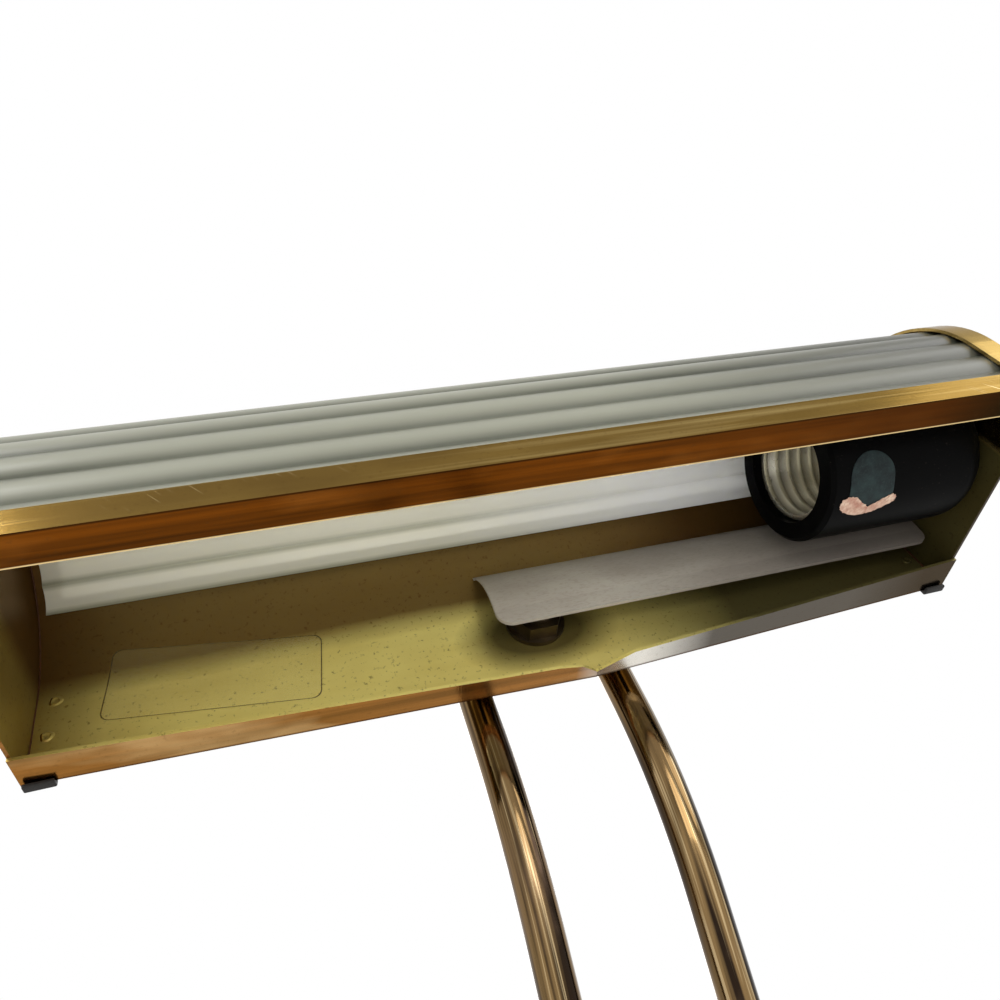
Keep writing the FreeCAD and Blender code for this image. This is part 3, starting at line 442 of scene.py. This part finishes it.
def cast_weight():
    make = Shader("cast_weight")
    grain = make.noise(make.coords(), 700.0, 5.0)
    base = make.mix(grain, colour(0.05, 0.05, 0.05), colour(0.13, 0.12, 0.11))
    return make.surface(Base_Color=base, Metallic=0.6, Roughness=make.ramp(grain, 0.6, 0.85),
                        Normal=make.bump(grain, 0.6, 0.0004))


def clear_film():
    """Thin clear film, a little yellowed, that shows the sheet behind it."""
    make = Shader("clear_film")
    cloud = make.noise(make.coords(), 160.0, 3.0)
    base = make.mix(cloud, shown(214, 204, 150), shown(186, 172, 112))
    return make.surface(Base_Color=base, Roughness=make.ramp(cloud, 0.18, 0.3), Alpha=0.05,
                        Specular_IOR_Level=0.25)


def film_rim():
    """The film's cut edge, which holds a line of old dust."""
    make = Shader("film_rim")
    cloud = make.noise(make.coords(), 500.0, 2.0)
    base = make.mix(cloud, shown(96, 76, 34), shown(140, 118, 62))
    return make.surface(Base_Color=base, Roughness=0.5, Alpha=0.6)


def teal_paper():
    """Glazed teal paper, scuffed and faded in patches."""
    make = Shader("teal_paper")
    cloud = make.noise(make.coords((260, 260, 420)), 1.0, 4.0)
    grain = make.noise(make.coords(), 1700.0, 3.0)
    base = make.mix(make.ramp(cloud, 0.0, 1.0, 0.38, 0.62), shown(24, 40, 40), shown(9, 21, 23))
    base = make.mix(make.ramp(grain, 0.0, 0.3, 0.5, 0.7), base, shown(46, 62, 60))
    return make.surface(Base_Color=base, Roughness=make.ramp(grain, 0.5, 0.7),
                        Specular_IOR_Level=0.2, Normal=make.bump(grain, 0.2, 0.00008))


def torn_paper():
    """The pale pinkish core of the sticker where its face tore away."""
    make = Shader("torn_paper")
    grain = make.noise(make.coords(), 1300.0, 4.0, 0.7)
    cloud = make.noise(make.coords(), 420.0, 3.0)
    base = make.mix(make.ramp(cloud, 0.0, 1.0, 0.35, 0.65), shown(206, 180, 158),
                    shown(164, 116, 98))
    base = make.mix(make.ramp(grain, 0.0, 0.4, 0.5, 0.7), base, shown(120, 92, 76))
    return make.surface(Base_Color=base, Roughness=0.85, Normal=make.bump(grain, 0.6, 0.0002))


def joint_dirt():
    """Painted shade in a seam: a dark reddish brown bead."""
    make = Shader("joint_dirt")
    cloud = make.noise(make.coords(), 500.0, 3.0)
    base = make.mix(cloud, shown(52, 26, 10), shown(92, 50, 20))
    return make.surface(Base_Color=base, Metallic=0.4, Roughness=make.ramp(cloud, 0.4, 0.6))


MAKERS = (polished_brass, tube_brass, raw_brass, frosted_glass, black_rubber, phenolic,
          aluminium_shell, grey_paint, lead_sheath, dark_steel, fibre, felt, cast_weight,
          shade_brass, clear_film, film_rim, teal_paper, torn_paper, joint_dirt)
# These nodes are pressed from the shade's lacquered sheet.
SHEET_NODES = ("shade_shell", "end_plate_left", "end_plate_right")


def dress_nodes():
    """Gives every CAD node the material of its slot in the record, and the sheet nodes the shade's
    own material.
    """
    looks = {maker.__name__: maker() for maker in MAKERS}
    for row in frame["record"]["subparts"]:
        thing = nodes[row["node"]]
        thing.data.materials.clear()
        look = "shade_brass" if row["node"] in SHEET_NODES else row["material_slot"]
        thing.data.materials.append(looks[look])
    return looks


# Added pieces

def panel_y(z):
    """The inside face of the rear wall, straight and then an arc."""
    above = max(z - CURVE_Z, 0.0)
    return MIDDLE_Y + math.sqrt(INSIDE_RADIUS ** 2 - above ** 2)


def on_panel(x, z, lift):
    return Vector((x, panel_y(z) - lift, z))


def on_holder(x, degrees, lift):
    """A place on the lamp holder, with 0 degrees at its front and 90 at its underside."""
    radius = HOLDER_RADIUS + lift
    angle = math.radians(degrees)
    return Vector((x, MIDDLE_Y - radius * math.cos(angle), HOLDER_Z - radius * math.sin(angle)))


def keep(name, data, body, look):
    """Puts a mesh or curve in the scene with its material or materials, riding on a body."""
    thing = bpy.data.objects.new(name, data)
    bpy.context.collection.objects.link(thing)
    for material in [look] if isinstance(look, bpy.types.Material) else look:
        data.materials.append(material)
    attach(thing, body)
    return thing


def smooth(mesh):
    mesh.polygons.foreach_set("use_smooth", [True] * len(mesh.polygons))


def thicken(thing, thick):
    solid = thing.modifiers.new("thickness", "SOLIDIFY")
    solid.thickness = thick
    solid.offset = 0.0


def new_mesh(name, points, faces):
    mesh = bpy.data.meshes.new(name)
    mesh.from_pydata(points, [], faces)
    return mesh


def ring_faces(rings, count, flip=False):
    """The faces between neighbouring rings of count points each."""
    faces = []
    for ring in range(rings - 1):
        near, far = ring * count, (ring + 1) * count
        for step in range(count):
            after = (step + 1) % count
            corners = (near + step, near + after, far + after, far + step)
            faces.append(corners[:1] + corners[:0:-1] if flip else corners)
    return faces


def divided(outline, spacing):
    """The closed outline with each side cut into steps of about this length."""
    made = []
    for one, two in zip(outline, outline[1:] + outline[:1]):
        parts = max(1, round(math.dist(one, two) / spacing))
        made.extend((one[0] + (two[0] - one[0]) * step / parts,
                     one[1] + (two[1] - one[1]) * step / parts) for step in range(parts))
    return made


def patch(name, outline, place, thick, looks, rim=0.03):
    """A thin sheet with this outline laid on a curved surface of the shade.

    Its outermost ring, which is the rim, takes the second look where there is one.
    """
    count = len(outline)
    middle = [sum(point[part] for point in outline) / count for part in (0, 1)]
    shares = (1.0, 1.0 - rim, *RING_SHARES)
    points = []
    for share in shares:
        for across, along in outline:
            points.append(place(middle[0] + (across - middle[0]) * share,
                                middle[1] + (along - middle[1]) * share))
    points.append(place(*middle))
    faces = ring_faces(len(shares), count)
    last = (len(shares) - 1) * count
    faces.extend((last + step, last + (step + 1) % count, len(points) - 1)
                 for step in range(count))
    mesh = new_mesh(name, points, faces)
    for face in mesh.polygons[:count]:
        face.material_index = min(1, len(looks) - 1)
    smooth(mesh)
    thicken(keep(name, mesh, "shade", looks), thick)


def add_film(looks):
    """A clear bare film on the rear wall, left of the wire cover, stuck on a little askew."""
    centre_x, centre_z = -0.0798, 0.2886
    half_wide, half_high, corner = 0.0248, 0.0096, 0.0022
    tilt = math.radians(-7.3)
    outline = []
    for turn, (side, level) in enumerate(((1, 1), (-1, 1), (-1, -1), (1, -1))):
        for step in range(7):
            angle = math.radians(90 * turn + 15 * step)
            flat_x = side * (half_wide - corner) + corner * math.cos(angle)
            flat_z = level * (half_high - corner) + corner * math.sin(angle)
            outline.append((centre_x + flat_x * math.cos(tilt) - flat_z * math.sin(tilt),
                            centre_z + flat_x * math.sin(tilt) + flat_z * math.cos(tilt)))
    spacing, lift = 0.0016, 0.00012
    patch("film_label", divided(outline, spacing), lambda x, z: on_panel(x, z, lift),
          PAPER_THICK, [looks["clear_film"], looks["film_rim"]], rim=0.012)


def ragged(outline, size, seed):
    """The outline with short uneven steps, as torn paper has.

    The size is in millimetres along the holder, and a third of the degrees round it.
    """
    draw = random.Random(seed)
    parts = 5
    made = []
    for one, two in zip(outline, outline[1:] + outline[:1]):
        for step in range(parts):
            share = step / parts
            made.append((one[0] + (two[0] - one[0]) * share + draw.uniform(-size, size) / 1000,
                         one[1] + (two[1] - one[1]) * share + draw.uniform(-size, size) * 3))
    return made


def add_sticker(looks):
    """A bare arched sticker under the lamp holder, its lower edge torn to the pale core.

    The points of each outline are metres along the holder and degrees round it.
    """
    middle_x, half_wide = 0.0818, 0.0065
    arch_foot, arch_rise = 62.4, 19.1
    arch = []
    for step in range(25):
        turn = math.radians(180 - 7.5 * step)
        arch.append((middle_x + half_wide * math.cos(turn),
                     arch_foot - arch_rise * math.sin(turn)))
    for share in (0.3, 0.6, 0.9):
        arch.append((0.0883 + 0.0001 * share, arch_foot + 19.0 * share))
    arch.extend(((0.0866, 82.5), (0.0842, 84.5), (0.0818, 86.0), (0.0796, 83.5), (0.0773, 79.5)))
    for share in (0.9, 0.6, 0.3):
        arch.append((0.0753 - 0.0002 * share, arch_foot + 14.0 * share))
    lift = 0.0001
    patch("holder_sticker", arch, lambda x, turn: on_holder(x, turn, lift), PAPER_THICK,
          [looks["teal_paper"]])
    left = [(0.0729, 81), (0.0732, 77.5), (0.0752, 75.3), (0.0776, 77), (0.0794, 82),
            (0.0816, 86.5), (0.082, 91), (0.081, 93.2), (0.0776, 92.2), (0.0746, 88.6),
            (0.073, 84.8)]
    right = [(0.0812, 87), (0.0842, 83.5), (0.0866, 80), (0.0886, 78.6), (0.0896, 81),
             (0.0894, 85.2), (0.0866, 88.6), (0.0838, 91.5), (0.0814, 93)]
    for name, outline, lift, seed in (("sticker_tear_left", left, 0.00018, 4),
                                      ("sticker_tear_right", right, 0.00022, 9)):
        patch(name, ragged(outline, 0.16, seed),
              lambda x, turn, lift=lift: on_holder(x, turn, lift), TEAR_THICK,
              [looks["torn_paper"]])


def tube_line(name, points, radius, look):
    """A thin round bead along these points of the shade."""
    line = bpy.data.curves.new(name, "CURVE")
    line.dimensions = "3D"
    line.bevel_depth = radius
    line.bevel_resolution = 2
    run = line.splines.new("POLY")
    run.points.add(len(points) - 1)
    for knot, point in zip(run.points, points):
        knot.co = (*point, 1.0)
    keep(name, line, "shade", look)


def add_seams(looks):
    """A dark bead of painted shade in the corner between the sheet and each end plate."""
    lift, bead_radius = 0.00008, 0.00022
    heights = [OPENING_Z + 0.002 + step * 0.00125 for step in range(41)]
    top = INSIDE_RADIUS * 0.96
    for side, name in ((-1, "seam_left"), (1, "seam_right")):
        x = side * (RIGHT_X - SHEET - lift)
        points = [on_panel(x, z, lift) for z in heights if z - CURVE_Z < top]
        tube_line(name, points, bead_radius, looks["joint_dirt"])


def add_weld_marks(looks):
    """Small dished marks where the end plates' tabs are spot-welded behind the rear wall."""
    # Each ring's radius and its rise from the wall.
    profile = ((0.0, 0.00006), (0.0004, 0.00007), (0.0007, 0.00016), (0.00092, 0.00026),
               (0.0011, 0.0002), (0.00135, 0.00006), (0.0016, -0.00004))
    count = 20
    number = 0
    for side in (-1, 1):
        for inset, height in ((0.0040, 0.0110), (0.0049, 0.0205)):
            number += 1
            place = on_panel(side * (RIGHT_X - inset), OPENING_Z + height, 0.0)
            points = []
            for out, rise in profile:
                for step in range(count):
                    turn = 2 * math.pi * step / count
                    wobble = 1 + 0.12 * math.sin(3 * turn + number)
                    points.append(place + Vector((out * math.cos(turn) * wobble, -rise,
                                                  out * math.sin(turn))))
            name = "weld_mark_%d" % number
            mesh = new_mesh(name, points, ring_faces(len(profile), count, flip=True))
            mesh.validate()
            smooth(mesh)
            keep(name, mesh, "shade", looks["shade_brass"])


def add_felt(looks):
    """The felt under the base, with a soft cut edge that is a little uneven."""
    low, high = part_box("felt_pad")
    middle = (low + high) / 2
    corners = {(round(v.co.x, 5), round(v.co.y, 5)) for v in nodes["felt_pad"].data.vertices}
    corners = sorted(corners, key=lambda p: math.atan2(p[1] - middle.y, p[0] - middle.x))
    outline = divided(corners, 0.0012)
    draw = random.Random(21)
    thick = high.z - low.z
    edge_reach, most_fuzz = 0.01, 0.00018
    # Each ring's share of the thickness and its inset from the outline.
    rings = ((0.0, 0.02), (0.0, 0.0007), (0.12, 0.00022), (0.5, 0.00005), (0.86, 0.0002),
             (1.0, 0.0006))
    count = len(outline)
    points = []
    for level, inset in rings:
        for x, y in outline:
            inward = Vector((middle.x - x, middle.y - y, 0)).normalized()
            fuzz = draw.uniform(0, most_fuzz) if inset < edge_reach else 0
            points.append(Vector((x, y, low.z + thick * level)) + inward * (inset + fuzz))
    faces = ring_faces(len(rings), count)
    points.append(Vector((middle.x, middle.y, low.z)))
    points.append(Vector((middle.x, middle.y, high.z)))
    last = (len(rings) - 1) * count
    for step in range(count):
        after = (step + 1) % count
        faces.append((after, step, len(points) - 2))
        faces.append((last + step, last + after, len(points) - 1))
    mesh = new_mesh("base_felt", points, faces)
    smooth(mesh)
    pad = keep("base_felt", mesh, "base", looks["felt"])
    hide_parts("felt_pad")


def add_threads(looks):
    """The turns of the fine lamp thread on the nipple's free end, inside the shade."""
    low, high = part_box("shade_nipple")
    nut_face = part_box("panel_nut")[0].y
    pitch, turn_steps = 0.00094, 28
    sink, end_gap, nut_gap, bead_radius = 0.00006, 0.0003, 0.0002, 0.0002
    radius = (high.x - low.x) / 2 - sink
    centre_x, centre_z = (high.x + low.x) / 2, (high.z + low.z) / 2
    turns = (nut_face - nut_gap - low.y - end_gap) / pitch
    points = []
    for step in range(int(turns * turn_steps) + 1):
        turn = 2 * math.pi * step / turn_steps
        points.append(Vector((centre_x + radius * math.cos(turn),
                              low.y + end_gap + pitch * step / turn_steps,
                              centre_z + radius * math.sin(turn))))
    tube_line("nipple_thread", points, bead_radius, looks["dark_steel"])


def add_bumpers(looks):
    """Moulded rubber feet behind and under the rear corners, with rounded edges."""
    seat_depth, floor_thick, trim = 0.0014, 0.0010, 0.0003
    for node, name in (("bumper_left", "bumper_pad_left"), ("bumper_right", "bumper_pad_right")):
        low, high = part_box(node)
        back = low.y + seat_depth
        seat = low.z + seat_depth
        under = seat - floor_thick
        profile = ((back, high.z - 0.0002), (high.y - trim, high.z - 0.0014),
                   (high.y - trim, under + 0.0004), (high.y - 0.0008, under), (low.y, under),
                   (low.y, seat), (back, seat))
        points = [Vector((x, y, z)) for x in (low.x, high.x) for y, z in profile]
        count = len(profile)
        faces = [tuple(range(count)), tuple(range(2 * count - 1, count - 1, -1))]
        faces.extend((step, count + step, count + (step + 1) % count, (step + 1) % count)
                     for step in range(count))
        mesh = new_mesh(name, points, faces)
        shape = bmesh.new()
        shape.from_mesh(mesh)
        bmesh.ops.recalc_face_normals(shape, faces=shape.faces)
        shape.to_mesh(mesh)
        shape.free()
        smooth(mesh)
        pad = keep(name, mesh, "shade", looks["black_rubber"])
        rounding = pad.modifiers.new("rounding", "BEVEL")
        rounding.width = 0.00035
        rounding.segments = 3
        rounding.limit_method = "ANGLE"
        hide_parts(node)


MAKE_PIECES = (add_bumpers, add_felt, add_film, add_sticker, add_seams, add_weld_marks,
               add_threads)


# Stage

def add_camera():
    """A camera at the photograph's fitted place, with no shift."""
    lens = bpy.data.cameras.new("camera")
    lens.sensor_width = SENSOR_MM
    lens.lens = FOCAL_PIXELS / FRAME_PIXELS * SENSOR_MM
    lens.clip_start = CLIP_START
    camera = bpy.data.objects.new("camera", lens)
    bpy.context.collection.objects.link(camera)
    corner = Vector((LEFT_X, FRONT_Y, OPENING_Z))
    place = corner + CAMERA_SHARES * SHADE_LENGTH
    right = VIEW_RIGHT.normalized()
    up = -(VIEW_DOWN - right * VIEW_DOWN.dot(right)).normalized()
    back = right.cross(up)
    turned = Matrix((right, up, back)).transposed().to_4x4()
    camera.matrix_world = Matrix.Translation(place) @ turned
    bpy.context.scene.camera = camera


def add_world():
    """White to the camera and in reflections and glass, and a little dimmer as light."""
    world = bpy.data.worlds.new("studio")
    bpy.context.scene.world = world
    world.use_nodes = True
    tree = world.node_tree
    tree.nodes.clear()
    output = tree.nodes.new("ShaderNodeOutputWorld")
    path = tree.nodes.new("ShaderNodeLightPath")
    seen = path.outputs["Is Camera Ray"]
    for ray in ("Is Glossy Ray", "Is Transmission Ray"):
        larger = tree.nodes.new("ShaderNodeMath")
        larger.operation = "MAXIMUM"
        tree.links.new(seen, larger.inputs[0])
        tree.links.new(path.outputs[ray], larger.inputs[1])
        seen = larger.outputs[0]
    chooser = tree.nodes.new("ShaderNodeMixShader")
    tree.links.new(seen, chooser.inputs[0])
    for place, strength in ((1, SOFT_STRENGTH), (2, WHITE_STRENGTH)):
        background = tree.nodes.new("ShaderNodeBackground")
        background.inputs["Color"].default_value = colour(1, 1, 1)
        background.inputs["Strength"].default_value = strength
        tree.links.new(background.outputs[0], chooser.inputs[place])
    tree.links.new(chooser.outputs[0], output.inputs["Surface"])


def add_floor():
    bpy.ops.mesh.primitive_plane_add(size=FLOOR_SIZE, location=(0, 0, 0))
    floor = bpy.context.object
    floor.name = "floor"
    make = Shader("floor")
    grain = make.noise(make.coords(), 30.0)
    base = make.mix(grain, colour(0.86, 0.86, 0.85), colour(0.84, 0.84, 0.83))
    floor.data.materials.append(make.surface(Base_Color=base, Roughness=0.8))


def add_lamp(name, place, target, size, power):
    lamp = bpy.data.lights.new(name, "AREA")
    lamp.shape = "DISK"
    lamp.size = size
    lamp.energy = power
    thing = bpy.data.objects.new(name, lamp)
    bpy.context.collection.objects.link(thing)
    thing.location = place
    aim = Vector(target) - Vector(place)
    thing.rotation_euler = aim.to_track_quat("-Z", "Y").to_euler()


def add_lights():
    middle = (0, -0.05, 0.28)
    add_lamp("key", (-0.7, -0.9, 1.0), middle, 0.6, 9)
    add_lamp("fill", (0.9, -0.6, 0.5), middle, 0.8, 4)
    add_lamp("under", (0.15, -0.75, 0.06), (0.04, -0.05, 0.29), 0.5, 2.5)
    add_lamp("back", (0.1, 0.9, 0.8), middle, 0.8, 4)


bpy.context.scene.view_settings.view_transform = "Standard"
add_camera()
add_world()
add_floor()
add_lights()
looks = dress_nodes()
for make_piece in MAKE_PIECES:
    make_piece(looks)
